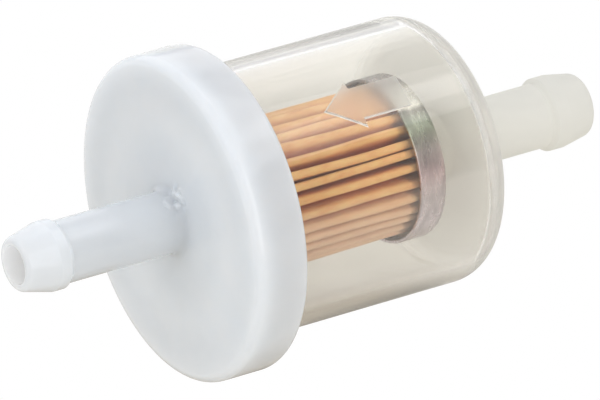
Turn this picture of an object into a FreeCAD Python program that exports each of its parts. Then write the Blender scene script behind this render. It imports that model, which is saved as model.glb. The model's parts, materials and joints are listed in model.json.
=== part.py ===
import FreeCAD, Part

import math
import os

# A small inline fuel filter for a 1/4 in hose. Millimetres, +Z up.
# The flow axis is the X axis: white outlet cap and its stem at -X, clear bowl and inlet stem at +X.
# The origin is on the flow axis, midway between the two stem tips.

# Driving lengths along the axis
OUTLET_STEM_LENGTH = 18.8
CAP_DEPTH = 6.2
BOWL_LENGTH = 27.4
INLET_STEM_LENGTH = 17.45
TOTAL_LENGTH = OUTLET_STEM_LENGTH + CAP_DEPTH + BOWL_LENGTH + INLET_STEM_LENGTH

# Stations along the axis
OUTLET_TIP_X = -TOTAL_LENGTH / 2
CAP_FACE_X = OUTLET_TIP_X + OUTLET_STEM_LENGTH
CAP_BACK_X = CAP_FACE_X + CAP_DEPTH
BOWL_END_X = CAP_BACK_X + BOWL_LENGTH
INLET_TIP_X = BOWL_END_X + INLET_STEM_LENGTH

# Hose stems
OUTLET_STEM_RADIUS = 3.35
OUTLET_RIDGE_RADIUS = 3.75
OUTLET_TIP_RADIUS = 2.85
OUTLET_TIP_ROUND = 0.7
OUTLET_CONE_LENGTH = 3.6
OUTLET_LAND_LENGTH = 1.2
INLET_STEM_RADIUS = 3.45
INLET_RIDGE_RADIUS = 3.95
INLET_TIP_RADIUS = 3.3
INLET_TIP_ROUND = 1.0
INLET_CONE_LENGTH = 3.45
INLET_LAND_LENGTH = 1.6
BORE_RADIUS = 2.1
BORE_EDGE_CHAMFER = 0.15
RIDGE_BACK_LENGTH = 0.5
STEM_ROOT_ROUND = 0.8

# White cap
CAP_RADIUS = 17.5
CAP_PLATE_THICKNESS = 2.4
CAP_SOCKET_RADIUS = 16.3
CAP_FRONT_ROUND = 1.05
CAP_REAR_ROUND = 0.7
SPIGOT_OUTER_RADIUS = 3.3
SPIGOT_LENGTH = 3.0
WELL_INNER_RADIUS = 8.7
WELL_WALL = 1.0
WELL_DEPTH = 1.8

# Clear bowl
BOWL_RADIUS = 14.35
BOWL_WALL = 1.3
BOWL_SHOULDER_ROUND = 3.1
BOWL_END_WALL = 1.5
WELD_CLEARANCE = 0.05
WELD_FLANGE_RECESS = 0.5
WELD_FLANGE_ROUND = 0.3

# Raised flow arrow on the bowl
ARROW_TIP_X = CAP_FACE_X + 14.1
ARROW_LENGTH = 9.8
ARROW_HEAD_LENGTH = 4.0
ARROW_HEAD_WIDTH = 5.8
ARROW_SHAFT_WIDTH = 3.9
ARROW_HEIGHT = 0.3
ARROW_ANGLE_DEG = 57.0

# Filter element
PLEATS = 33
PAPER_THICKNESS = 0.3
PLEAT_OUTER_RADIUS = 8.0
PLEAT_INNER_RADIUS = 4.5
CUP_RADIUS = 8.9
CUP_DEPTH = 3.4
CUP_SHEET = 0.35
CUP_CORNER_ROUND = 0.7
CUP_END_GAP = 3.5
ADHESIVE_THICKNESS = 1.4
PAPER_SET_DEPTH = 0.9
SEAM_PLEAT = 30
SEAM_INNER_RADIUS = 6.2
SEAM_OUTER_RADIUS = 7.75
SEAM_PITCH_SHARE = 0.7

# Stations of the element
CAP_PLATE_BACK_X = CAP_FACE_X + CAP_PLATE_THICKNESS
CAP_ADHESIVE_TOP_X = CAP_PLATE_BACK_X + ADHESIVE_THICKNESS
PAPER_START_X = CAP_ADHESIVE_TOP_X - PAPER_SET_DEPTH
CUP_END_X = BOWL_END_X - BOWL_END_WALL - CUP_END_GAP
CUP_RIM_X = CUP_END_X - CUP_DEPTH
CUP_FLOOR_X = CUP_END_X - CUP_SHEET
CUP_ADHESIVE_TOP_X = CUP_FLOOR_X - ADHESIVE_THICKNESS
PAPER_END_X = CUP_ADHESIVE_TOP_X + PAPER_SET_DEPTH

ORIGIN = FreeCAD.Vector(0, 0, 0)
FLOW_AXIS = FreeCAD.Vector(1, 0, 0)


def turned(points):
    """A solid of revolution about the flow axis, from (x, radius) points."""
    outline = [FreeCAD.Vector(x, 0, radius) for x, radius in points]
    face = Part.Face(Part.makePolygon(outline + outline[:1]))
    return face.revolve(ORIGIN, FLOW_AXIS, 360)


def edge_circles(shape, x, radius):
    """The full-circle edges about the flow axis at one station and radius."""
    found = []
    for edge in shape.Edges:
        curve = edge.Curve
        if not isinstance(curve, Part.Circle):
            continue
        if abs(curve.Radius - radius) < 1e-4 and abs(curve.Center.x - x) < 1e-4:
            found.append(edge)
    return found


def rounded(shape, x, radius, fillet):
    """The shape with its circular edge at that station and radius filleted."""
    return shape.makeFillet(fillet, edge_circles(shape, x, radius))


def outlet_stem():
    """(x, radius) points outside the outlet stem: tip, cone, ridge land, back slope, root."""
    cone_end = OUTLET_TIP_X + OUTLET_CONE_LENGTH
    land_end = cone_end + OUTLET_LAND_LENGTH
    return [
        (OUTLET_TIP_X, OUTLET_TIP_RADIUS),
        (cone_end, OUTLET_RIDGE_RADIUS),
        (land_end, OUTLET_RIDGE_RADIUS),
        (land_end + RIDGE_BACK_LENGTH, OUTLET_STEM_RADIUS),
        (CAP_FACE_X, OUTLET_STEM_RADIUS),
    ]


def inlet_stem():
    """(x, radius) points outside the inlet stem: root, back slope, ridge land, cone, tip."""
    cone_end = INLET_TIP_X - INLET_CONE_LENGTH
    land_end = cone_end - INLET_LAND_LENGTH
    return [
        (BOWL_END_X, INLET_STEM_RADIUS),
        (land_end - RIDGE_BACK_LENGTH, INLET_STEM_RADIUS),
        (land_end, INLET_RIDGE_RADIUS),
        (cone_end, INLET_RIDGE_RADIUS),
        (INLET_TIP_X, INLET_TIP_RADIUS),
    ]


def outlet_cap():
    """White cap: outlet stem, face plate, skirt that takes the bowl, spigot and adhesive well."""
    outline = [(OUTLET_TIP_X + BORE_EDGE_CHAMFER, BORE_RADIUS)]
    outline += [(OUTLET_TIP_X, BORE_RADIUS + BORE_EDGE_CHAMFER)]
    outline += outlet_stem()
    outline += [
        (CAP_FACE_X, CAP_RADIUS),
        (CAP_BACK_X, CAP_RADIUS),
        (CAP_BACK_X, CAP_SOCKET_RADIUS),
        (CAP_PLATE_BACK_X, CAP_SOCKET_RADIUS),
        (CAP_PLATE_BACK_X, WELL_INNER_RADIUS + WELL_WALL),
        (CAP_PLATE_BACK_X + WELL_DEPTH, WELL_INNER_RADIUS + WELL_WALL),
        (CAP_PLATE_BACK_X + WELL_DEPTH, WELL_INNER_RADIUS),
        (CAP_PLATE_BACK_X, WELL_INNER_RADIUS),
        (CAP_PLATE_BACK_X, SPIGOT_OUTER_RADIUS),
        (CAP_PLATE_BACK_X + SPIGOT_LENGTH, SPIGOT_OUTER_RADIUS),
        (CAP_PLATE_BACK_X + SPIGOT_LENGTH, BORE_RADIUS),
    ]
    cap = turned(outline)
    cap = rounded(cap, OUTLET_TIP_X, OUTLET_TIP_RADIUS, OUTLET_TIP_ROUND)
    cap = rounded(cap, CAP_FACE_X, OUTLET_STEM_RADIUS, STEM_ROOT_ROUND)
    cap = rounded(cap, CAP_FACE_X, CAP_RADIUS, CAP_FRONT_ROUND)
    return rounded(cap, CAP_BACK_X, CAP_RADIUS, CAP_REAR_ROUND)


def flow_arrow():
    """Raised arrow that points at the white cap, as a pad curved to the bowl's outside."""
    head_back_x = ARROW_TIP_X + ARROW_HEAD_LENGTH
    tail_x = ARROW_TIP_X + ARROW_LENGTH
    head, shaft = ARROW_HEAD_WIDTH / 2, ARROW_SHAFT_WIDTH / 2
    corners = [
        (ARROW_TIP_X, 0),
        (head_back_x, head),
        (head_back_x, shaft),
        (tail_x, shaft),
        (tail_x, -shaft),
        (head_back_x, -shaft),
        (head_back_x, -head),
    ]
    outline = [FreeCAD.Vector(x, y, 0) for x, y in corners]
    prism = Part.Face(Part.makePolygon(outline + outline[:1])).extrude(FreeCAD.Vector(0, 0, CAP_RADIUS))
    # The arrow is laid out on top of the bowl, then turned about the axis to its place on the -Y side
    prism.rotate(ORIGIN, FLOW_AXIS, 90 - ARROW_ANGLE_DEG)
    start = FreeCAD.Vector(ARROW_TIP_X - 1, 0, 0)
    outer = Part.makeCylinder(BOWL_RADIUS + ARROW_HEIGHT, ARROW_LENGTH + 2, start, FLOW_AXIS)
    inner = Part.makeCylinder(BOWL_RADIUS - BOWL_WALL / 2, ARROW_LENGTH + 2, start, FLOW_AXIS)
    return prism.common(outer).cut(inner)


def clear_bowl():
    """Clear bowl: weld flange inside the cap's skirt, wall, shoulder, inlet stem and the flow arrow."""
    inner_radius = BOWL_RADIUS - BOWL_WALL
    end_inside_x = BOWL_END_X - BOWL_END_WALL
    flange_radius = CAP_SOCKET_RADIUS - WELD_CLEARANCE
    flange_back_x = CAP_BACK_X - WELD_FLANGE_RECESS
    outline = [
        (CAP_PLATE_BACK_X, inner_radius),
        (CAP_PLATE_BACK_X, flange_radius),
        (flange_back_x, flange_radius),
        (flange_back_x, BOWL_RADIUS),
        (BOWL_END_X, BOWL_RADIUS),
    ]
    outline += inlet_stem()
    outline += [
        (INLET_TIP_X, BORE_RADIUS + BORE_EDGE_CHAMFER),
        (INLET_TIP_X - BORE_EDGE_CHAMFER, BORE_RADIUS),
        (end_inside_x, BORE_RADIUS),
        (end_inside_x, inner_radius),
    ]
    bowl = turned(outline)
    bowl = rounded(bowl, BOWL_END_X, BOWL_RADIUS, BOWL_SHOULDER_ROUND)
    bowl = rounded(bowl, end_inside_x, inner_radius, BOWL_SHOULDER_ROUND - BOWL_WALL)
    bowl = rounded(bowl, BOWL_END_X, INLET_STEM_RADIUS, STEM_ROOT_ROUND)
    bowl = rounded(bowl, flange_back_x, BOWL_RADIUS, WELD_FLANGE_ROUND)
    bowl = rounded(bowl, INLET_TIP_X, INLET_TIP_RADIUS, INLET_TIP_ROUND)
    return bowl.fuse(flow_arrow()).removeSplitter()


def pleated_paper():
    """Closed ring of pleats, from the adhesive on the cap to the adhesive in the steel cup."""
    corners = []
    for i in range(2 * PLEATS):
        angle = math.pi * i / PLEATS
        radius = PLEAT_INNER_RADIUS if i % 2 else PLEAT_OUTER_RADIUS
        corners.append(FreeCAD.Vector(PAPER_START_X, radius * math.cos(angle), radius * math.sin(angle)))
    middle = Part.makePolygon(corners + corners[:1])
    outside = middle.makeOffset2D(PAPER_THICKNESS / 2)
    inside = middle.makeOffset2D(-PAPER_THICKNESS / 2)
    ring = Part.Face(outside).cut(Part.Face(inside))
    return ring.extrude(FLOW_AXIS * (PAPER_END_X - PAPER_START_X))


def steel_end_cup():
    """Pressed steel cup, open towards the cap, over the inlet end of the paper."""
    cup = turned(
        [
            (CUP_RIM_X, CUP_RADIUS - CUP_SHEET),
            (CUP_RIM_X, CUP_RADIUS),
            (CUP_END_X, CUP_RADIUS),
            (CUP_END_X, 0),
            (CUP_FLOOR_X, 0),
            (CUP_FLOOR_X, CUP_RADIUS - CUP_SHEET),
        ]
    )
    cup = rounded(cup, CUP_END_X, CUP_RADIUS, CUP_CORNER_ROUND)
    return rounded(cup, CUP_FLOOR_X, CUP_RADIUS - CUP_SHEET, CUP_CORNER_ROUND - CUP_SHEET)


def cup_adhesive(paper):
    """Disc of adhesive on the cup's floor, with the paper's end set in it."""
    radius = CUP_RADIUS - CUP_SHEET
    disc = Part.makeCylinder(
        radius, ADHESIVE_THICKNESS, FreeCAD.Vector(CUP_ADHESIVE_TOP_X, 0, 0), FLOW_AXIS
    )
    disc = rounded(disc, CUP_FLOOR_X, radius, CUP_CORNER_ROUND - CUP_SHEET)
    return disc.cut(paper)


def cap_adhesive(paper):
    """Ring of adhesive in the cap's well, with the paper's other end set in it."""
    ring = turned(
        [
            (CAP_PLATE_BACK_X, SPIGOT_OUTER_RADIUS),
            (CAP_PLATE_BACK_X, WELL_INNER_RADIUS),
            (CAP_ADHESIVE_TOP_X, WELL_INNER_RADIUS),
            (CAP_ADHESIVE_TOP_X, SPIGOT_OUTER_RADIUS),
        ]
    )
    return ring.cut(paper)


def paper_seam(paper):
    """Bead of adhesive in one valley of the paper, down the side seam on the +Y side, low down."""
    pitch = 2 * math.pi / PLEATS
    middle = (SEAM_PLEAT + 0.5) * pitch
    half = SEAM_PITCH_SHARE * pitch / 2
    corners = []
    for radius, side in ((SEAM_INNER_RADIUS, -1), (SEAM_OUTER_RADIUS, -1),
                         (SEAM_OUTER_RADIUS, 1), (SEAM_INNER_RADIUS, 1)):
        angle = middle + side * half
        corners.append(
            FreeCAD.Vector(CAP_ADHESIVE_TOP_X, radius * math.cos(angle), radius * math.sin(angle))
        )
    bead = Part.Face(Part.makePolygon(corners + corners[:1]))
    bead = bead.extrude(FLOW_AXIS * (CUP_ADHESIVE_TOP_X - CAP_ADHESIVE_TOP_X)).cut(paper)
    return max(bead.Solids, key=lambda solid: solid.Volume)


def main():
    paper = pleated_paper()
    nodes = {
        "clear_bowl": clear_bowl(),
        "outlet_cap": outlet_cap(),
        "pleated_paper": paper,
        "steel_end_cup": steel_end_cup(),
        "cup_adhesive": cup_adhesive(paper),
        "cap_adhesive": cap_adhesive(paper),
        "paper_seam": paper_seam(paper),
    }
    os.makedirs("parts", exist_ok=True)
    for name, shape in nodes.items():
        shape.exportStep(f"parts/{name}.step")
        print(name, "valid", shape.isValid(), "solids", len(shape.Solids), "volume", round(shape.Volume, 2))


main()
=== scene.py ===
import json
import math
import random

import bmesh
import bpy
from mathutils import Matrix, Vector, noise


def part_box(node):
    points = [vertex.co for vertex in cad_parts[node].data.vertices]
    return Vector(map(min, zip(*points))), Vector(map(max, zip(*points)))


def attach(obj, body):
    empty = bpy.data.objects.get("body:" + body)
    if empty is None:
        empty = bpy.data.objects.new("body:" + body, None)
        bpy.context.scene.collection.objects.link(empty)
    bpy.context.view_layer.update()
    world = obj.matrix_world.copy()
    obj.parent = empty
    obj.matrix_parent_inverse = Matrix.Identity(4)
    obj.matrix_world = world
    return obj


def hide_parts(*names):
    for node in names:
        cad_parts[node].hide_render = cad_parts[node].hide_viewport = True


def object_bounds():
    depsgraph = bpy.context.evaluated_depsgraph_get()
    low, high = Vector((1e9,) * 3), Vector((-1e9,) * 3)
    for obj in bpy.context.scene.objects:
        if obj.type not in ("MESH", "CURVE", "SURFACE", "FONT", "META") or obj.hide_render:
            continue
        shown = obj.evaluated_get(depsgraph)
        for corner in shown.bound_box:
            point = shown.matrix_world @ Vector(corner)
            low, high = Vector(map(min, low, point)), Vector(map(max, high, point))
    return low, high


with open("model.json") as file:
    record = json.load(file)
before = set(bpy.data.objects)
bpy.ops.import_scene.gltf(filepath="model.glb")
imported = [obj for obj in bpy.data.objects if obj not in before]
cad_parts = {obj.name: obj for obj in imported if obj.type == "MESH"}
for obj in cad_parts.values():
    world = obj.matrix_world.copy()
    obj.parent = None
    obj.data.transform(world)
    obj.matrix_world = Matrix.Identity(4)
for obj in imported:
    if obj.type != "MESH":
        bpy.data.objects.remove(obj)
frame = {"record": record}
cad_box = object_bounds()

MM = 0.001
SEED = 7

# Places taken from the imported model, in metres. The flow axis is the X axis.
cap_low, cap_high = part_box("outlet_cap")
bowl_low, bowl_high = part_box("clear_bowl")
paper_low, paper_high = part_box("pleated_paper")
cup_low, cup_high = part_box("steel_end_cup")
cap_glue_low, cap_glue_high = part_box("cap_adhesive")
cup_glue_low, cup_glue_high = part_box("cup_adhesive")
mounts = {m["name"]: m for m in frame["record"]["mounts"]}

# The cap's stations and radii
CAP_THICKNESS = 6.2 * MM
OUTLET_TIP_X = cap_low.x
CAP_BACK_X = cap_high.x
CAP_RADIUS = cap_high.z
CAP_FACE_X = CAP_BACK_X - CAP_THICKNESS
CAP_PLATE_BACK_X = bowl_low.x
FLANGE_RADIUS, FLANGE_GAP = bowl_high.z, 0.05 * MM
CAP_SOCKET_RADIUS = FLANGE_RADIUS + FLANGE_GAP
BORE_RADIUS = mounts["outlet_bore"]["dims"]["r_mm"] * MM

# Inside of the cap
SPIGOT_RADIUS, SPIGOT_LENGTH = 3.3 * MM, 3.0 * MM
WELL_RADIUS, WELL_WALL, WELL_DEPTH = 8.7 * MM, 1.0 * MM, 1.8 * MM

# Hose stems
OUTLET_STEM = {
    "radius": 3.35 * MM, "tip": 2.85 * MM, "tip_round": 0.7 * MM, "cone": 3.6 * MM,
    "ridge": mounts["outlet_barb"]["dims"]["r_mm"] * MM,
    "land": mounts["outlet_barb"]["dims"]["length_mm"] * MM,
}
INLET_STEM = {
    "radius": 3.45 * MM, "tip": 3.3 * MM, "tip_round": 1.0 * MM, "cone": 3.45 * MM,
    "ridge": mounts["inlet_barb"]["dims"]["r_mm"] * MM,
    "land": mounts["inlet_barb"]["dims"]["length_mm"] * MM,
}
RIDGE_BACK = 0.5 * MM
STEM_ROOT_ROUND = 0.8 * MM

# The blob at the outlet stem's root: its angle above -Y, how far it reaches, its centre's place ahead of the
# cap's face and above the stem, how high it is and how uneven
SCAR_ANGLE, SCAR_REACH = math.radians(60), 2.1 * MM
SCAR_AHEAD, SCAR_ABOVE = 0.25 * MM, 0.5 * MM
SCAR_HEIGHT, SCAR_UNEVEN, SCAR_GRAIN = 0.14 * MM, 0.80 * MM, 1500

# Clear bowl
BOWL_LENGTH = 27.4 * MM
INLET_TIP_X = bowl_high.x
BOWL_END_X = CAP_BACK_X + BOWL_LENGTH
BOWL_RADIUS = 14.35 * MM
BOWL_WALL = 1.3 * MM
BOWL_END_WALL = 1.5 * MM
BOWL_SHOULDER = 3.1 * MM
WELD_RECESS = 0.5 * MM
END_MILK, STEM_MILK, STEM_MILK_RUN = 0.45, 0.50, 1.0 * MM

# The bowl's arrow: its tip is towards the cap, and its middle line is at an angle above -Y
ARROW_TIP_X = CAP_FACE_X + 14.1 * MM
ARROW_LENGTH, ARROW_HEAD_LENGTH = 9.8 * MM, 4.0 * MM
ARROW_HEAD_WIDTH, ARROW_SHAFT_WIDTH = 5.8 * MM, 3.9 * MM
ARROW_HEIGHT, ARROW_SLOPE, ARROW_FOOT = 0.22 * MM, 0.13 * MM, 0.03 * MM
ARROW_ANGLE = math.radians(57)
ARROW_MARGIN = 0.3 * MM

# Filter element
PLEATS = 33
SEAM_PLEAT = 30
STATIONS = 44
PAPER_THICKNESS = 0.3 * MM
PLEAT_OUTER = paper_high.z - PAPER_THICKNESS / 2
PLEAT_INNER = 4.5 * MM
CUP_SHEET = 0.35 * MM
DISC_HOLE = 0.05 * MM
# Points of the paper's line on a crest, a flank and a valley, and for a whole pleat
CREST_POINTS, FLANK_POINTS, VALLEY_POINTS = 9, 4, 7
PLEAT_POINTS = CREST_POINTS + VALLEY_POINTS + 2 * FLANK_POINTS
# How uneven the pleats are: place as a share of the pitch, then heights and crest radii in millimetres
PLEAT_SHIFT = 0.15
PLEAT_DROP, CREST_RADIUS, VALLEY_RISE = (0.0, 0.16), (0.26, 0.34), (-0.05, 0.15)
PLEAT_LEAN, PLEAT_SWELL = 0.035, 0.10 * MM

# The main view: where it is seen from, its centre and how wide it is
VIEW_AZIMUTH, VIEW_ELEVATION = math.radians(-32.5), math.radians(26.75)
VIEW_CENTRE, VIEW_RIGHT, VIEW_DOWN = (-0.545 * MM, 0, 0), 0.46 * MM, 1.6 * MM
VIEW_WIDTH = 62.5 * MM
LENS_MM, SENSOR_MM = 800, 36

# Surroundings: the direction in which they are dark, as seen from the object, and (share of it, strength)
DARK_SIDE = (0.48, -0.75, 0.45)
WORLD_LIGHT, WORLD_DARK = (0.72, 0.79), (0.95, 0.12)
WORLD_COLOUR = (0.93, 0.95, 1.0)

# Lights: name, direction, distance, width, height, radiance, colour
LIGHTS = [
    ("overhead_strip", (0.30, 0.18, 1.0), 0.35, 0.45, 0.12, 0.85, (1, 1, 1)),
    ("window", (0.48, -0.357, 0.80), 0.35, 0.30, 0.113, 1.0, (1, 1, 1)),
    ("left_key", (-0.78, 0.05, 0.60), 0.4, 0.32, 0.012, 16.5, (0.90, 0.95, 1.0)),
    ("front_fill", (-0.04, -0.90, 0.42), 0.6, 0.42, 0.75, 1.45, (1, 1, 1)),
    ("back_panel", (0.25, 1.0, 0.45), 0.6, 0.9, 0.35, 0.55, (1, 1, 1)),
]

# Floor: half its side, its drop below the object, and its light along the direction seen through the bowl
FLOOR_SIDE, FLOOR_DROP = 3.0, 45 * MM
FLOOR_BEHIND = (0.54, 0.84, 0)
FLOOR_NEAR, FLOOR_FAR = -0.10, 0.20
FLOOR_LIGHT = [
    (0.18, (0.78, 0.77, 0.74)),
    (0.34, (0.91, 0.89, 0.85)),
    (0.47, (0.90, 0.89, 0.85)),
    (0.53, (0.52, 0.49, 0.44)),
    (0.68, (0.76, 0.74, 0.70)),
    (0.80, (0.70, 0.68, 0.66)),
    (0.92, (0.76, 0.76, 0.73)),
    (1.0, (1.0, 1.0, 0.97)),
]
SHADOW_CENTRE, SHADOW_CORE, SHADOW_EDGE = (0.008, 0.031), 0.034, 0.055
SHADOW_COLOUR = (0.51, 0.46, 0.39)

# The direction across which the steel cup's colour bands change and the paper turns paler. The cup's bands,
# partly its passivation film's colours and partly painted reflection and shade, go from the cup's low side
# to its high side, and drift by a share of its height.
ACROSS = (0, 0.513, 0.858)
FILM_AND_REFLECTION_DRIFT = 0.10
FILM_AND_REFLECTION_COLOURS = [
    (0.10, (0.62, 0.55, 0.59)),
    (0.21, (0.59, 0.52, 0.54)),
    (0.38, (0.70, 0.54, 0.56)),
    (0.48, (0.74, 0.65, 0.64)),
    (0.60, (0.44, 0.48, 0.38)),
    (0.66, (0.32, 0.36, 0.29)),
    (0.735, (0.26, 0.25, 0.22)),
    (0.755, (0.68, 0.67, 0.59)),
    (0.86, (0.66, 0.64, 0.57)),
    (0.90, (0.30, 0.27, 0.25)),
]

# Shares of haze in the clear plastic: its wall, the arrow's slopes (where the haze is also a painted
# highlight along the arrow's edges) and top, and where it is seen edge-on.
# Then the share of the haze that is lit from behind, and the arrow's extra roughness.
WALL_HAZE, SLOPE_HAZE_AND_HIGHLIGHT, ARROW_HAZE, GRAZING_HAZE = 0.025, 0.9, 0.10, 0.36
BACKLIT_HAZE, ARROW_FROST = 0.4, 0.28


# ---------------------------------------------------------------- camera, floor and light

def camera():
    """The camera of the main view: a long lens, from in front of the white cap's end and above."""
    back = Vector((math.sin(VIEW_AZIMUTH) * math.cos(VIEW_ELEVATION),
                   -math.cos(VIEW_AZIMUTH) * math.cos(VIEW_ELEVATION),
                   math.sin(VIEW_ELEVATION)))
    right = Vector((math.cos(VIEW_AZIMUTH), math.sin(VIEW_AZIMUTH), 0))
    up = back.cross(right)
    data = bpy.data.cameras.new("main_camera")
    data.sensor_width = SENSOR_MM
    data.lens = LENS_MM
    data.clip_start, data.clip_end = 0.05, 20
    ob = bpy.data.objects.new("main_camera", data)
    bpy.context.scene.collection.objects.link(ob)
    look_at = Vector(VIEW_CENTRE) + right * VIEW_RIGHT - up * VIEW_DOWN
    ob.location = look_at + back * (VIEW_WIDTH * LENS_MM / SENSOR_MM)
    ob.rotation_mode = "QUATERNION"
    ob.rotation_quaternion = (-back).to_track_quat("-Z", "Y")
    bpy.context.scene.camera = ob


def softbox(name, direction, distance, width, height, radiance, colour):
    """A rectangular area light that faces the object from a direction."""
    data = bpy.data.lights.new(name, "AREA")
    data.shape = "RECTANGLE"
    data.size, data.size_y = width, height
    data.energy = radiance * math.pi * width * height
    data.color = colour
    ob = bpy.data.objects.new(name, data)
    bpy.context.scene.collection.objects.link(ob)
    away = Vector(direction).normalized()
    ob.location = away * distance
    ob.rotation_mode = "QUATERNION"
    ob.rotation_quaternion = away.to_track_quat("Z", "Y")


def studio_world():
    """White surroundings, whose light on the object is a little cooler, and weaker from the dark side."""
    world = bpy.data.worlds.new("studio_world")
    bpy.context.scene.world = world
    world.use_nodes = True
    nodes, links = world.node_tree.nodes, world.node_tree.links
    nodes.clear()
    seen = nodes.new("ShaderNodeBackground")
    seen.inputs["Color"].default_value = (1, 1, 1, 1)
    lit = nodes.new("ShaderNodeBackground")
    lit.inputs["Color"].default_value = (*WORLD_COLOUR, 1)
    around = nodes.new("ShaderNodeTexCoord").outputs["Generated"]
    towards = dot_node(nodes, links, around, DARK_SIDE)
    links.new(map_node(nodes, links, towards, WORLD_LIGHT, WORLD_DARK), lit.inputs["Strength"])
    out = nodes.new("ShaderNodeOutputWorld")
    links.new(ray_mix(nodes, links, "Is Camera Ray", lit, seen), out.inputs["Surface"])


def studio():
    """White surroundings, a pale floor below the object, and soft lights."""
    bpy.context.scene.view_settings.view_transform = "Standard"
    studio_world()
    mesh = bpy.data.meshes.new("studio_floor")
    side, level = FLOOR_SIDE, cad_box[0].z - FLOOR_DROP
    corners = [(-side, -side, level), (side, -side, level), (side, side, level), (-side, side, level)]
    mesh.from_pydata(corners, [], [(0, 1, 2, 3)])
    floor = bpy.data.objects.new("studio_floor", mesh)
    bpy.context.scene.collection.objects.link(floor)
    mesh.materials.append(floor_material())
    for light in LIGHTS:
        softbox(*light)


def floor_material():
    """A floor seen as white. The light it gives varies behind the object, with a soft shadow under it."""
    material, nodes, links = new_material("studio_floor")
    place = object_coords(nodes)
    behind = dot_node(nodes, links, place, FLOOR_BEHIND)
    share = map_node(nodes, links, behind, (FLOOR_NEAR, 0), (FLOOR_FAR, 1))
    light = ramp_node(nodes, links, share, FLOOR_LIGHT)
    away = nodes.new("ShaderNodeVectorMath")
    away.operation = "DISTANCE"
    away.inputs[1].default_value = (*SHADOW_CENTRE, cad_box[0].z - FLOOR_DROP)
    links.new(place, away.inputs[0])
    edge = map_node(nodes, links, away.outputs["Value"], (SHADOW_CORE, 0), (SHADOW_EDGE, 1))
    shadow = ramp_node(nodes, links, edge, [(0.0, SHADOW_COLOUR), (1.0, (1.0, 1.0, 1.0))])
    lit = nodes.new("ShaderNodeEmission")
    links.new(mix_node(nodes, links, "MULTIPLY", 1.0, light, shadow), lit.inputs["Color"])
    seen = nodes.new("ShaderNodeEmission")
    links.new(ray_mix(nodes, links, "Is Camera Ray", lit, seen), nodes["Material Output"].inputs["Surface"])
    return material


# ---------------------------------------------------------------- shapes

def rounded_outline(corners, step_degrees=9):
    """(x, radius) points of a closed outline. Corners are (x, radius, fillet), and fillets become arcs."""
    points = []
    for i, (x, y, fillet) in enumerate(corners):
        corner = Vector((x, y))
        if not fillet:
            points.append(corner)
            continue
        before = (Vector(corners[i - 1][:2]) - corner).normalized()
        after = (Vector(corners[(i + 1) % len(corners)][:2]) - corner).normalized()
        half = before.angle(after) / 2
        centre = corner + (before + after).normalized() * fillet / math.sin(half)
        start = corner + before * fillet / math.tan(half) - centre
        turn = start.angle_signed(corner + after * fillet / math.tan(half) - centre)
        steps = max(3, math.ceil(abs(math.degrees(turn)) / step_degrees))
        for k in range(steps + 1):
            angle = -turn * k / steps
            points.append(centre + Vector((start.x * math.cos(angle) - start.y * math.sin(angle),
                                           start.x * math.sin(angle) + start.y * math.cos(angle))))
    return points


def filled_in(points, x_from, x_to, spacing):
    """The outline with extra points on the bowl's outer wall between two stations, for the arrow."""
    result = []
    for i, here in enumerate(points):
        there = points[(i + 1) % len(points)]
        result.append(here)
        low, high = sorted((here.x, there.x))
        on_outer_wall = here.y > BOWL_RADIUS - 0.001 * MM and high - low > 4 * spacing
        if not on_outer_wall or high < x_from or low > x_to:
            continue
        stations = [x_from + k * spacing for k in range(int((x_to - x_from) / spacing) + 1)]
        stations = [x for x in stations if low < x < high]
        if there.x < here.x:
            stations.reverse()
        result += [here.lerp(there, (x - here.x) / (there.x - here.x)) for x in stations]
    return result


def densified(points, centre, reach, spacing):
    """The outline with extra points wherever it passes within reach of a place, for detail to sit on."""
    result = []
    for here, there in zip(points, points[1:] + points[:1]):
        result.append(here)
        steps = int((there - here).length / spacing)
        extra = [here.lerp(there, k / steps) for k in range(1, steps)]
        result += [point for point in extra if (point - centre).length < reach]
    return result


def lathe(name, points, angles):
    """A closed mesh: the closed outline turned about the flow axis, with a column at each angle."""
    verts, faces = [], []
    for angle in angles:
        c, s = math.cos(angle), math.sin(angle)
        verts += [(p.x, p.y * c, p.y * s) for p in points]
    n, m = len(points), len(angles)
    for i in range(m):
        a, b = i * n, (i + 1) % m * n
        for j in range(n):
            k = (j + 1) % n
            faces.append((a + j, a + k, b + k, b + j))
    return mesh_object(name, verts, faces)


def mesh_object(name, verts, faces, sharp_degrees=35):
    """A smooth-shaded object with its faces turned outward and its hard edges kept."""
    mesh = bpy.data.meshes.new(name)
    mesh.from_pydata(verts, [], faces)
    work = bmesh.new()
    work.from_mesh(mesh)
    bmesh.ops.remove_doubles(work, verts=work.verts, dist=1e-7)
    bmesh.ops.dissolve_degenerate(work, edges=work.edges, dist=1e-8)
    bmesh.ops.recalc_face_normals(work, faces=work.faces)
    work.to_mesh(mesh)
    work.free()
    mesh.shade_smooth()
    mesh.set_sharp_from_angle(angle=math.radians(sharp_degrees))
    ob = bpy.data.objects.new(name, mesh)
    bpy.context.scene.collection.objects.link(ob)
    return ob


def even_angles(count):
    """Angles at even steps round a full turn."""
    return [2 * math.pi * i / count for i in range(count)]


def stem_corners(stem, tip_x, root_x):
    """Corners of a hose stem from the bore's mouth to the stem's root."""
    inward = math.copysign(1, root_x - tip_x)
    cone_end = tip_x + inward * stem["cone"]
    land_end = cone_end + inward * stem["land"]
    return [
        (tip_x, BORE_RADIUS, 0.15 * MM),
        (tip_x, stem["tip"], stem["tip_round"]),
        (cone_end, stem["ridge"], 0.35 * MM),
        (land_end, stem["ridge"], 0.2 * MM),
        (land_end + inward * RIDGE_BACK, stem["radius"], 0.2 * MM),
        (root_x, stem["radius"], STEM_ROOT_ROUND),
    ]


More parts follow.
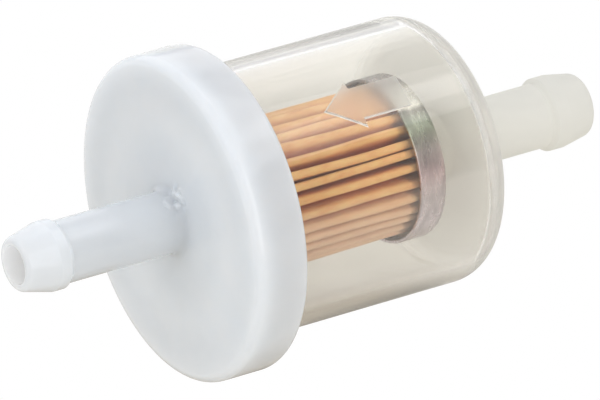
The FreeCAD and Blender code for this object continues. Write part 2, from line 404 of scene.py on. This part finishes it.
def outlet_cap():
    """White cap: stem, face plate, rim, socket for the bowl, adhesive well and spigot."""
    well_top = CAP_PLATE_BACK_X + WELL_DEPTH
    spigot_end = CAP_PLATE_BACK_X + SPIGOT_LENGTH
    corners = stem_corners(OUTLET_STEM, OUTLET_TIP_X, CAP_FACE_X) + [
        (CAP_FACE_X, CAP_RADIUS, 1.05 * MM),
        (CAP_BACK_X, CAP_RADIUS, 0.7 * MM),
        (CAP_BACK_X, CAP_SOCKET_RADIUS, 0.15 * MM),
        (CAP_PLATE_BACK_X, CAP_SOCKET_RADIUS, 0),
        (CAP_PLATE_BACK_X, WELL_RADIUS + WELL_WALL, 0.2 * MM),
        (well_top, WELL_RADIUS + WELL_WALL, 0.15 * MM),
        (well_top, WELL_RADIUS, 0.15 * MM),
        (CAP_PLATE_BACK_X, WELL_RADIUS, 0),
        (CAP_PLATE_BACK_X, SPIGOT_RADIUS, 0),
        (spigot_end, SPIGOT_RADIUS, 0.2 * MM),
        (spigot_end, BORE_RADIUS, 0.1 * MM),
    ]
    root = Vector((CAP_FACE_X, OUTLET_STEM["radius"]))
    points = densified(rounded_outline(corners), root, SCAR_REACH + 0.3 * MM, 0.12 * MM)
    ob = lathe("outlet_cap_moulding", points, even_angles(300))
    scar_root(ob)
    return ob


def scar_root(ob):
    """An uneven blob at the stem's root, as a broken-off moulding gate leaves."""
    out = Vector((0, -math.cos(SCAR_ANGLE), math.sin(SCAR_ANGLE)))
    centre = Vector((CAP_FACE_X - SCAR_AHEAD, 0, 0)) + out * (OUTLET_STEM["radius"] + SCAR_ABOVE)
    away = (out - Vector((1, 0, 0))).normalized()
    for v in ob.data.vertices:
        near = 1 - (v.co - centre).length / SCAR_REACH
        on_outside = v.co.yz.length > OUTLET_STEM["radius"] - 0.05 * MM
        if near > 0 and on_outside:
            lump = SCAR_HEIGHT + SCAR_UNEVEN * noise.noise(v.co * SCAR_GRAIN)
            v.co += away * lump * near * near * (3 - 2 * near)


def arrow_sides():
    """The arrow's straight sides as (point, inward direction), each (along the flow axis, across it)."""
    head_back, tail = ARROW_TIP_X + ARROW_HEAD_LENGTH, ARROW_TIP_X + ARROW_LENGTH
    shaft = ARROW_SHAFT_WIDTH / 2
    slant = Vector((ARROW_HEAD_WIDTH / 2, ARROW_HEAD_LENGTH)).normalized()
    sides = {
        "head": [((ARROW_TIP_X, 0), (slant.x, slant.y)),
                 ((ARROW_TIP_X, 0), (slant.x, -slant.y)),
                 ((head_back, 0), (-1, 0))],
        "shaft": [((head_back, shaft), (0, -1)),
                  ((head_back, -shaft), (0, 1)),
                  ((tail, 0), (-1, 0))],
    }
    return {part: [(Vector(point), Vector(inward)) for point, inward in lines]
            for part, lines in sides.items()}


def arrow_depth(x, across):
    """How far a point on the bowl lies inside the arrow's outline. It is negative outside."""
    sides, here = arrow_sides(), Vector((x, across))
    in_head, in_shaft = [min((here - point).dot(inward) for point, inward in sides[part])
                         for part in ("head", "shaft")]
    # The shaft's lines run on under the head, so near the tip only the head counts
    return in_head if x < ARROW_TIP_X + 0.8 * ARROW_HEAD_LENGTH else max(in_head, in_shaft)


def raise_arrow(ob, middle):
    """Cuts the arrow's outline into the bowl's outer wall, then lifts what is inside it and marks it."""
    out = Vector((0, math.cos(middle), math.sin(middle)))
    along = Vector((0, -math.sin(middle), math.cos(middle)))
    reach = ARROW_HEAD_WIDTH / 2 + ARROW_MARGIN
    work = bmesh.new()
    work.from_mesh(ob.data)

    def on_patch(face):
        centre = face.calc_center_median()
        return (abs(centre.yz.length - BOWL_RADIUS) < 0.1 * MM and centre.dot(out) > 0
                and abs(centre.dot(along)) < reach
                and -ARROW_MARGIN < centre.x - ARROW_TIP_X < ARROW_LENGTH + ARROW_MARGIN)

    for point, inward in sum(arrow_sides().values(), []):
        for inset in (-ARROW_FOOT, 0, ARROW_SLOPE):
            faces = [f for f in work.faces if on_patch(f)]
            geometry = faces + list({e for f in faces for e in f.edges})
            geometry += list({v for f in faces for v in f.verts})
            place = point + inward * inset
            bmesh.ops.bisect_plane(work, geom=geometry, dist=1e-7,
                                   plane_co=Vector((place.x, 0, 0)) + along * place.y + out * BOWL_RADIUS,
                                   plane_no=Vector((inward.x, 0, 0)) + along * inward.y)
    mark, edge = work.verts.layers.float.new("arrow"), work.verts.layers.float.new("arrow_edge")
    for v in work.verts:
        if abs(v.co.yz.length - BOWL_RADIUS) > 0.05 * MM or v.co.dot(out) < 0:
            continue
        depth = arrow_depth(v.co.x, v.co.dot(along))
        share = min(max(depth / ARROW_SLOPE, 0), 1)
        lift = (BOWL_RADIUS + ARROW_HEIGHT * share) / v.co.yz.length
        v.co.y *= lift
        v.co.z *= lift
        v[mark] = share
        v[edge] = 1 - share if depth > -ARROW_FOOT / 2 else 0
    work.to_mesh(ob.data)
    work.free()
    ob.data.set_sharp_from_angle(angle=math.radians(25))


def milkiness(x):
    """How milky the bowl's plastic is at a station: clear wall, milky end, and the stem most of all."""
    end = min(max((x - BOWL_END_X + BOWL_SHOULDER) / (BOWL_SHOULDER - BOWL_END_WALL), 0), 1)
    stem = min(max((x - BOWL_END_X) / STEM_MILK_RUN, 0), 1)
    return END_MILK * end + STEM_MILK * stem


def clear_bowl():
    """Clear bowl: weld flange, wall, shoulder, inlet stem, and the raised arrow."""
    inner = BOWL_RADIUS - BOWL_WALL
    end_inside = BOWL_END_X - BOWL_END_WALL
    flange_back = CAP_BACK_X - WELD_RECESS
    stem = stem_corners(INLET_STEM, INLET_TIP_X, BOWL_END_X)
    corners = [
        (CAP_PLATE_BACK_X, inner, 0),
        (CAP_PLATE_BACK_X, FLANGE_RADIUS, 0),
        (flange_back, FLANGE_RADIUS, 0.1 * MM),
        (flange_back, BOWL_RADIUS, 0.3 * MM),
        (BOWL_END_X, BOWL_RADIUS, BOWL_SHOULDER),
    ] + stem[::-1] + [
        (end_inside, BORE_RADIUS, 0.2 * MM),
        (end_inside, inner, BOWL_SHOULDER - BOWL_WALL),
    ]
    margin = 0.4 * MM
    points = filled_in(rounded_outline(corners, step_degrees=6), ARROW_TIP_X - margin,
                       ARROW_TIP_X + ARROW_LENGTH + margin, 0.5 * MM)
    # The arrow is centred at ARROW_ANGLE above -Y, measured from +Y as the lathe's angles are
    middle = math.pi - ARROW_ANGLE
    half = (ARROW_HEAD_WIDTH / 2 + margin) / BOWL_RADIUS
    fine_steps = 28
    fine = [middle + half * (2 * k / fine_steps - 1) for k in range(fine_steps + 1)]
    coarse = [a for a in even_angles(260) if not middle - half < a < middle + half]
    ob = lathe("clear_bowl_moulding", points, sorted(fine + coarse))
    raise_arrow(ob, middle)
    milk = ob.data.attributes.new("milk", "FLOAT", "POINT")
    for v in ob.data.vertices:
        milk.data[v.index].value = milkiness(v.co.x)
    return ob


def pleat_path(rng):
    """The paper's middle line as (radius, angle, pleat): each pleat is a crest, flank, valley and flank."""
    pitch = 2 * math.pi / PLEATS
    centres = [pitch * (i + rng.uniform(-PLEAT_SHIFT, PLEAT_SHIFT)) for i in range(PLEATS)]
    tops = [PLEAT_OUTER - rng.uniform(*PLEAT_DROP) * MM for _ in range(PLEATS)]
    crests = [rng.uniform(*CREST_RADIUS) * MM for _ in range(PLEATS)]
    points = []
    for i in range(PLEATS):
        centre, top, crest = centres[i], tops[i], crests[i]
        following = centres[(i + 1) % PLEATS] + (2 * math.pi if i == PLEATS - 1 else 0)
        middle = top - crest
        for k in range(CREST_POINTS):
            a = math.pi * (k / (CREST_POINTS - 1) - 0.5)
            points.append((middle + crest * math.cos(a), centre + crest * math.sin(a) / middle, i))
        valley = (centre + following) / 2
        bottom = PLEAT_INNER + rng.uniform(*VALLEY_RISE) * MM
        tight = (following - centre) * bottom / 4
        next_crest = crests[(i + 1) % PLEATS]
        next_middle = tops[(i + 1) % PLEATS] - next_crest
        for k in range(1, FLANK_POINTS + 1):
            share = k / (FLANK_POINTS + 1)
            radius = middle + (bottom + tight - middle) * share
            left = centre + crest / middle
            points.append((radius, left + (valley - tight / bottom - left) * share, i))
        for k in range(VALLEY_POINTS):
            a = math.pi * (k / (VALLEY_POINTS - 1) - 0.5)
            points.append((bottom + tight - tight * math.cos(a), valley + tight * math.sin(a) / bottom, i))
        for k in range(1, FLANK_POINTS + 1):
            share = k / (FLANK_POINTS + 1)
            radius = bottom + tight + (next_middle - bottom - tight) * share
            left = valley + tight / bottom
            right = following - next_crest / next_middle
            points.append((radius, left + (right - left) * share, (i + 1) % PLEATS))
    return points


def pleat_lines():
    """The paper's middle line at even stations along the element. Each pleat leans and sways a little."""
    rng = random.Random(SEED)
    path = pleat_path(rng)
    leans = [rng.uniform(-PLEAT_LEAN, PLEAT_LEAN) for _ in range(PLEATS)]
    lines = []
    for s in range(STATIONS + 1):
        t = s / STATIONS
        line = []
        for radius, angle, pleat in path:
            depth = max((radius - PLEAT_INNER) / (PLEAT_OUTER - PLEAT_INNER), 0)
            sway = noise.noise(Vector((pleat * 3.7, t * 2.2, 1.0))) * PLEAT_LEAN
            angle += (leans[pleat] * (t - 0.5) + sway) * depth
            radius += noise.noise(Vector((pleat * 5.1, t * 3.0, 9.0))) * PLEAT_SWELL * depth
            line.append(Vector((radius * math.cos(angle), radius * math.sin(angle))))
        lines.append((paper_low.x + (paper_high.x - paper_low.x) * t, line))
    return lines


def seam_bead():
    """The bead of adhesive in the seam's valley, between its two flanks, with a hollowed, rippled top."""
    first = PLEAT_POINTS * SEAM_PLEAT
    last = first + PLEAT_POINTS
    hollow, unevenness = 0.25 * MM, 0.06 * MM
    sections = []
    for x, line in pleat_lines():
        if not cap_glue_high.x < x < cup_glue_low.x:
            continue
        left, right = line[first + CREST_POINTS:][:3], line[last - 3:last]
        top, bottom = (left[0] + right[2]) / 2, (left[2] + right[0]) / 2
        ripple = noise.noise(Vector((x * 700, 3.0, 0.0))) * unevenness
        top = top * (1 - (hollow + ripple) / top.length)
        sections.append([(x, p.x, p.y) for p in (*left, bottom, *right, top)])
    n = len(sections[0])
    faces = []
    for a in range(0, n * (len(sections) - 1), n):
        faces += [(a + i, a + (i + 1) % n, a + n + (i + 1) % n, a + n + i) for i in range(n)]
    faces += [tuple(range(n)), tuple(range(n * (len(sections) - 1), n * len(sections)))]
    return mesh_object("paper_seam_bead", sum(sections, []), faces, sharp_degrees=50)


def pleated_paper():
    """The pleated ring of paper, with its thickness. Its crest value is 1 on crests and 0 in valleys."""
    verts, faces = [], []
    count = PLEAT_POINTS * PLEATS
    for x, line in pleat_lines():
        for side in (1, -1):
            for i in range(count):
                along = (line[(i + 1) % count] - line[i - 1]).normalized()
                out = Vector((along.y, -along.x)) * side * PAPER_THICKNESS / 2
                verts.append((x, line[i].x + out.x, line[i].y + out.y))
    ring = 2 * count
    for s in range(STATIONS):
        for side in (0, count):
            for i in range(count):
                j = (i + 1) % count
                a, b = s * ring + side, (s + 1) * ring + side
                faces.append((a + i, a + j, b + j, b + i))
    for s in (0, STATIONS):
        for i in range(count):
            j = (i + 1) % count
            a = s * ring
            faces.append((a + i, a + j, a + count + j, a + count + i))
    ob = mesh_object("pleated_paper_folds", verts, faces, sharp_degrees=60)
    crest = ob.data.attributes.new("crest", "FLOAT", "POINT")
    for v in ob.data.vertices:
        depth = (v.co.yz.length - PLEAT_INNER) / (PLEAT_OUTER - PLEAT_INNER)
        crest.data[v.index].value = min(max(depth, 0), 1)
    return ob


def steel_end_cup():
    """Pressed steel cup with a rounded base and a slightly rounded rim."""
    # The mesh is a ring, so the base stops just short of the axis
    hole = 0.02 * MM
    corners = [
        (cup_low.x, cup_high.z - CUP_SHEET, 0.08 * MM),
        (cup_low.x, cup_high.z, 0.12 * MM),
        (cup_high.x, cup_high.z, 0.7 * MM),
        (cup_high.x, hole, 0),
        (cup_high.x - CUP_SHEET, hole, 0),
        (cup_high.x - CUP_SHEET, cup_high.z - CUP_SHEET, 0.35 * MM),
    ]
    return lathe("steel_end_cup_pressing", rounded_outline(corners), even_angles(200))


def adhesive(name, x_bottom, x_top, inner, outer):
    """A ring or disc of cured adhesive with an uneven top that climbs a little at its edges."""
    verts, faces = [], []
    rings, columns = 18, 160
    sunk, most_climb, climb_fall = 0.1 * MM, 0.16 * MM, 14
    unevenness, grain = 0.07 * MM, 900
    up = math.copysign(1, x_top - x_bottom)
    for k in range(rings + 1):
        radius = inner + (outer - inner) * k / rings
        edge = min(k, rings - k) / rings
        climb = most_climb * math.exp(-edge * climb_fall)
        for angle in even_angles(columns):
            place = Vector((radius * math.cos(angle), radius * math.sin(angle), 0))
            ripple = noise.noise(place * grain) * unevenness
            verts.append((x_top + up * (climb + ripple - sunk), place.x, place.y))
    base = len(verts)
    for radius in (inner, outer):
        verts += [(x_bottom, radius * math.cos(a), radius * math.sin(a)) for a in even_angles(columns)]
    for i in range(columns):
        j = (i + 1) % columns
        for k in range(rings):
            a, b = k * columns, (k + 1) * columns
            faces.append((a + i, a + j, b + j, b + i))
        last = rings * columns
        faces.append((i, j, base + j, base + i))
        faces.append((last + i, last + j, base + columns + j, base + columns + i))
        faces.append((base + i, base + j, base + columns + j, base + columns + i))
    return mesh_object(name, verts, faces, sharp_degrees=50)


# ---------------------------------------------------------------- material nodes

def new_material(name):
    """A material with its nodes and links."""
    material = bpy.data.materials.new(name)
    material.use_nodes = True
    return material, material.node_tree.nodes, material.node_tree.links


def feed(links, socket, value):
    """Gives a socket its value: another node's output, a colour or a number."""
    if isinstance(value, bpy.types.NodeSocket):
        links.new(value, socket)
    else:
        socket.default_value = (*value, 1) if isinstance(value, tuple) else value


def object_coords(nodes):
    """The place on the object, in its own metres."""
    return nodes.new("ShaderNodeTexCoord").outputs["Object"]


def attribute_node(nodes, name):
    """A value stored on the mesh's points."""
    attribute = nodes.new("ShaderNodeAttribute")
    attribute.attribute_name = name
    return attribute.outputs["Fac"]


def dot_node(nodes, links, source, direction):
    """How far a place lies along a direction."""
    dot = nodes.new("ShaderNodeVectorMath")
    dot.operation = "DOT_PRODUCT"
    dot.inputs[1].default_value = direction
    links.new(source, dot.inputs[0])
    return dot.outputs["Value"]


def map_node(nodes, links, source, start, end):
    """A value mapped between two (value, result) pairs, and held at their results beyond them."""
    mapped = nodes.new("ShaderNodeMapRange")
    mapped.inputs["From Min"].default_value, mapped.inputs["To Min"].default_value = start
    mapped.inputs["From Max"].default_value, mapped.inputs["To Max"].default_value = end
    links.new(source, mapped.inputs["Value"])
    return mapped.outputs["Result"]


def scale_add_node(nodes, links, source, factor, addend):
    """source * factor + addend."""
    total = nodes.new("ShaderNodeMath")
    total.operation = "MULTIPLY_ADD"
    links.new(source, total.inputs[0])
    total.inputs[1].default_value = factor
    feed(links, total.inputs[2], addend)
    return total.outputs[0]


def mix_node(nodes, links, blend, factor, base, layer):
    """A colour laid over another."""
    mix = nodes.new("ShaderNodeMix")
    mix.data_type, mix.blend_type = "RGBA", blend
    feed(links, mix.inputs["Factor"], factor)
    feed(links, mix.inputs["A"], base)
    feed(links, mix.inputs["B"], layer)
    return mix.outputs["Result"]


def shader_mix(nodes, links, factor, base, layer):
    """A shader laid over another."""
    mix = nodes.new("ShaderNodeMixShader")
    feed(links, mix.inputs[0], factor)
    links.new(base.outputs[0], mix.inputs[1])
    links.new(layer.outputs[0], mix.inputs[2])
    return mix


def ray_mix(nodes, links, ray, others, chosen):
    """One shader for a kind of ray, and another for all other rays."""
    path = nodes.new("ShaderNodeLightPath")
    return shader_mix(nodes, links, path.outputs[ray], others, chosen).outputs[0]


def noise_node(nodes, links, scale, detail, stretch=None):
    """A noise texture in the object's own metres. stretch scales the coordinates first."""
    texture = nodes.new("ShaderNodeTexNoise")
    texture.inputs["Scale"].default_value = scale
    texture.inputs["Detail"].default_value = detail
    source = object_coords(nodes)
    if stretch:
        mapping = nodes.new("ShaderNodeMapping")
        mapping.inputs["Scale"].default_value = stretch
        links.new(source, mapping.inputs["Vector"])
        source = mapping.outputs["Vector"]
    links.new(source, texture.inputs["Vector"])
    return texture.outputs["Fac"]


def ramp_node(nodes, links, source, stops):
    """A colour that follows a value through (value, colour) stops."""
    ramp = nodes.new("ShaderNodeValToRGB")
    elements = ramp.color_ramp.elements
    while len(elements) < len(stops):
        elements.new(0.5)
    for element, (position, colour) in zip(elements, stops):
        element.position = position
        element.color = (*colour, 1)
    links.new(source, ramp.inputs["Fac"])
    return ramp.outputs["Color"]


def two_tone(nodes, links, source, low, high):
    """A colour, or a grey for a number, between the usual low and high values of a noise texture."""
    tones = [tone if isinstance(tone, tuple) else (tone,) * 3 for tone in (low, high)]
    return ramp_node(nodes, links, source, [(0.3, tones[0]), (0.7, tones[1])])


def bump_node(nodes, links, source, strength, distance):
    """A normal that follows a height."""
    bump = nodes.new("ShaderNodeBump")
    bump.inputs["Strength"].default_value = strength
    bump.inputs["Distance"].default_value = distance
    links.new(source, bump.inputs["Height"])
    return bump.outputs["Normal"]


# ---------------------------------------------------------------- materials

def white_plastic():
    """Milky white moulded plastic that lets light into its surface, with painted light on the bore's wall.
    """
    material, nodes, links = new_material("white_plastic")
    surface = nodes["Principled BSDF"]
    cloud = noise_node(nodes, links, scale=220, detail=3)
    colour = two_tone(nodes, links, cloud, (0.78, 0.82, 0.85), (0.81, 0.84, 0.86))
    # Painted light: the bore's wall is paler, standing in for light shining through the plastic into the
    # bore.
    pale = mix_node(nodes, links, "MIX", bore_painted_light_mask(nodes, links), colour, (0.97, 0.985, 0.99))
    links.new(pale, surface.inputs["Base Color"])
    surface.inputs["Subsurface Weight"].default_value = 1.0
    surface.inputs["Subsurface Radius"].default_value = (1.0, 0.95, 0.9)
    surface.inputs["Subsurface Scale"].default_value = 6.0 * MM
    surface.inputs["IOR"].default_value = 1.5
    grain = noise_node(nodes, links, scale=900, detail=2)
    links.new(two_tone(nodes, links, grain, 0.05, 0.09), surface.inputs["Roughness"])
    links.new(bump_node(nodes, links, grain, strength=0.06, distance=0.05 * MM), surface.inputs["Normal"])
    return material


def bore_painted_light_mask(nodes, links):
    """1 inside the bore and 0 outside it, where the bore's wall is painted paler: painted light that stands
    in for light shining through the plastic into the bore.
    """
    across = nodes.new("ShaderNodeVectorMath")
    across.operation = "MULTIPLY"
    across.inputs[1].default_value = (0, 1, 1)
    links.new(object_coords(nodes), across.inputs[0])
    radius = nodes.new("ShaderNodeVectorMath")
    radius.operation = "LENGTH"
    links.new(across.outputs[0], radius.inputs[0])
    outside, inside = BORE_RADIUS + 0.3 * MM, BORE_RADIUS + 0.1 * MM
    return map_node(nodes, links, radius.outputs["Value"], (outside, 0), (inside, 1))


def clear_plastic():
    """Clear moulded plastic with a warm haze, which is paler on the arrow's slopes as a painted highlight.
    Lamps shine through it to what is inside.
    """
    material, nodes, links = new_material("clear_plastic")
    surface = nodes["Principled BSDF"]
    surface.inputs["Base Color"].default_value = (0.97, 0.955, 0.92, 1)
    surface.inputs["Transmission Weight"].default_value = 1.0
    surface.inputs["IOR"].default_value = 1.5
    grain = noise_node(nodes, links, scale=1500, detail=3)
    gloss = two_tone(nodes, links, grain, 0.02, 0.04)
    frosted = scale_add_node(nodes, links, attribute_node(nodes, "arrow"), ARROW_FROST, gloss)
    links.new(frosted, surface.inputs["Roughness"])
    # The haze colour turns paler and warmer on the arrow's slopes: partly the slopes' haze, partly a painted
    # highlight along the arrow's edges.
    milky = ramp_node(nodes, links, attribute_node(nodes, "arrow_edge"),
                      [(0.0, (0.80, 0.79, 0.75)), (0.6, (1.0, 0.94, 0.84))])
    front = nodes.new("ShaderNodeBsdfDiffuse")
    links.new(milky, front.inputs["Color"])
    back = nodes.new("ShaderNodeBsdfTranslucent")
    links.new(milky, back.inputs["Color"])
    haze = shader_mix(nodes, links, BACKLIT_HAZE, front, back)
    hazed = shader_mix(nodes, links, haze_amount(nodes, links), surface, haze)
    open_way = nodes.new("ShaderNodeBsdfTransparent")
    open_way.inputs["Color"].default_value = (0.97, 0.965, 0.95, 1)
    links.new(ray_mix(nodes, links, "Is Shadow Ray", hazed, open_way),
              nodes["Material Output"].inputs["Surface"])
    return material


def haze_amount(nodes, links):
    """The share of haze: a little on the wall, more on the arrow, nearly all on the arrow's slopes as a
    painted highlight along its edges, at the bowl's end and on its stem.
    """
    slopes = scale_add_node(nodes, links, attribute_node(nodes, "arrow_edge"), SLOPE_HAZE_AND_HIGHLIGHT, WALL_HAZE)
    arrow = scale_add_node(nodes, links, attribute_node(nodes, "arrow"), ARROW_HAZE, slopes)
    grazing = nodes.new("ShaderNodeLayerWeight")
    grazing.inputs["Blend"].default_value = 0.25
    edges = scale_add_node(nodes, links, grazing.outputs["Facing"], GRAZING_HAZE, arrow)
    total = nodes.new("ShaderNodeMath")
    total.use_clamp = True
    links.new(edges, total.inputs[0])
    links.new(attribute_node(nodes, "milk"), total.inputs[1])
    return total.outputs[0]


def filter_paper():
    """Resin-treated filter paper: tan, with fine fibres, painted shade that darkens and reddens the valleys,
    a paler lower side, and an uneven dark edge along the cup's rim.
    """
    material, nodes, links = new_material("filter_paper")
    surface = nodes["Principled BSDF"]
    blotch = noise_node(nodes, links, scale=260, detail=4)
    colour = two_tone(nodes, links, blotch, (0.79, 0.41, 0.14), (0.92, 0.55, 0.23))
    fibre = noise_node(nodes, links, scale=1800, detail=5, stretch=(0.35, 1, 1))
    fibrous = mix_node(nodes, links, "OVERLAY", 0.35, colour, fibre)
    # Painted shade: the colour darkens and reddens from the crests into the valleys, where the folds shade
    # the paper.
    depth = ramp_node(nodes, links, attribute_node(nodes, "crest"),
                      [(0.40, (0.80, 0.38, 0.24)), (0.90, (1.0, 1.0, 1.0))])
    with_painted_valley_shade = mix_node(nodes, links, "MULTIPLY", 1.0, fibrous, depth)
    paler_below = mix_node(nodes, links, "MIX", paler_below_share(nodes, links), with_painted_valley_shade, (0.71, 0.51, 0.41))
    rim_darkened = mix_node(nodes, links, "MIX", rim_darkening_share(nodes, links), paler_below, (0.16, 0.09, 0.06))
    links.new(rim_darkened, surface.inputs["Base Color"])
    surface.inputs["Roughness"].default_value = 0.85
    links.new(bump_node(nodes, links, fibre, strength=0.35, distance=0.05 * MM), surface.inputs["Normal"])
    return material


def paler_below_share(nodes, links):
    """How far the paper turns paler and pinker: not on its upper side, and unevenly towards its lower side.
    """
    creases = noise_node(nodes, links, scale=300, detail=3, stretch=(0.3, 1, 1))
    across = dot_node(nodes, links, object_coords(nodes), ACROSS)
    uneven = scale_add_node(nodes, links, creases, 5.0 * MM, across)
    start, end = 2.5 * MM - 0.30 * PLEAT_OUTER, 2.5 * MM - 0.85 * PLEAT_OUTER
    return map_node(nodes, links, uneven, (start, 0), (end, 0.60))


def rim_darkening_share(nodes, links):
    """How dark the paper is along the cup's rim: an uneven dark edge."""
    split = nodes.new("ShaderNodeSeparateXYZ")
    links.new(object_coords(nodes), split.inputs[0])
    patches = noise_node(nodes, links, scale=700, detail=3)
    uneven = scale_add_node(nodes, links, patches, 2.4 * MM, split.outputs["X"])
    return map_node(nodes, links, uneven, (cup_low.x + 0.5 * MM, 0), (cup_low.x + 1.2 * MM, 0.5))


def plated_steel():
    """Zinc-plated steel: a faint green and pink passivation film, with painted reflection and shade in bands
    across its height, mottled and streaked round the wall.
    """
    material, nodes, links = new_material("plated_steel")
    surface = nodes["Principled BSDF"]
    across = dot_node(nodes, links, object_coords(nodes), ACROSS)
    height = map_node(nodes, links, across,
                      (cup_low.z, -FILM_AND_REFLECTION_DRIFT / 2), (cup_high.z, 1 - FILM_AND_REFLECTION_DRIFT / 2))
    drift = noise_node(nodes, links, scale=160, detail=3)
    place = scale_add_node(nodes, links, drift, FILM_AND_REFLECTION_DRIFT, height)
    # The colour bands across the cup's height are partly its passivation film and partly painted reflection
    # and shade.
    colour = ramp_node(nodes, links, place, FILM_AND_REFLECTION_COLOURS)
    speckle = noise_node(nodes, links, scale=1500, detail=5, stretch=(1, 0.3, 0.3))
    mottle = ramp_node(nodes, links, speckle, [(0.34, (0.62,) * 3), (0.58, (1.0,) * 3)])
    links.new(mix_node(nodes, links, "MULTIPLY", 0.7, colour, mottle), surface.inputs["Base Color"])
    surface.inputs["Metallic"].default_value = 1.0
    links.new(two_tone(nodes, links, speckle, 0.36, 0.22), surface.inputs["Roughness"])
    links.new(bump_node(nodes, links, speckle, strength=0.3, distance=0.03 * MM), surface.inputs["Normal"])
    return material


def cured_adhesive():
    """Cured adhesive: creamy, a little translucent, satin."""
    material, nodes, links = new_material("cured_adhesive")
    surface = nodes["Principled BSDF"]
    cloud = noise_node(nodes, links, scale=500, detail=3)
    colour = two_tone(nodes, links, cloud, (0.62, 0.50, 0.31), (0.74, 0.64, 0.44))
    links.new(colour, surface.inputs["Base Color"])
    surface.inputs["Subsurface Weight"].default_value = 0.3
    surface.inputs["Subsurface Radius"].default_value = (1.0, 0.8, 0.5)
    surface.inputs["Subsurface Scale"].default_value = 0.8 * MM
    links.new(two_tone(nodes, links, cloud, 0.3, 0.42), surface.inputs["Roughness"])
    return material


# ---------------------------------------------------------------- assembly

def dress(piece, material, node):
    """Gives a piece its material, puts it on the object's body, and hides the CAD node it stands for."""
    piece.data.materials.clear()
    piece.data.materials.append(material)
    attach(piece, "root")
    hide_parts(node)


def main():
    camera()
    studio()
    glue = cured_adhesive()
    dress(outlet_cap(), white_plastic(), "outlet_cap")
    dress(clear_bowl(), clear_plastic(), "clear_bowl")
    dress(pleated_paper(), filter_paper(), "pleated_paper")
    dress(steel_end_cup(), plated_steel(), "steel_end_cup")
    disc = adhesive("cup_adhesive_disc", cup_glue_high.x, cup_glue_low.x, DISC_HOLE, cup_glue_high.z)
    dress(disc, glue, "cup_adhesive")
    ring = adhesive("cap_adhesive_ring", cap_glue_low.x, cap_glue_high.x, SPIGOT_RADIUS, cap_glue_high.z)
    dress(ring, glue, "cap_adhesive")
    dress(seam_bead(), glue, "paper_seam")


main()
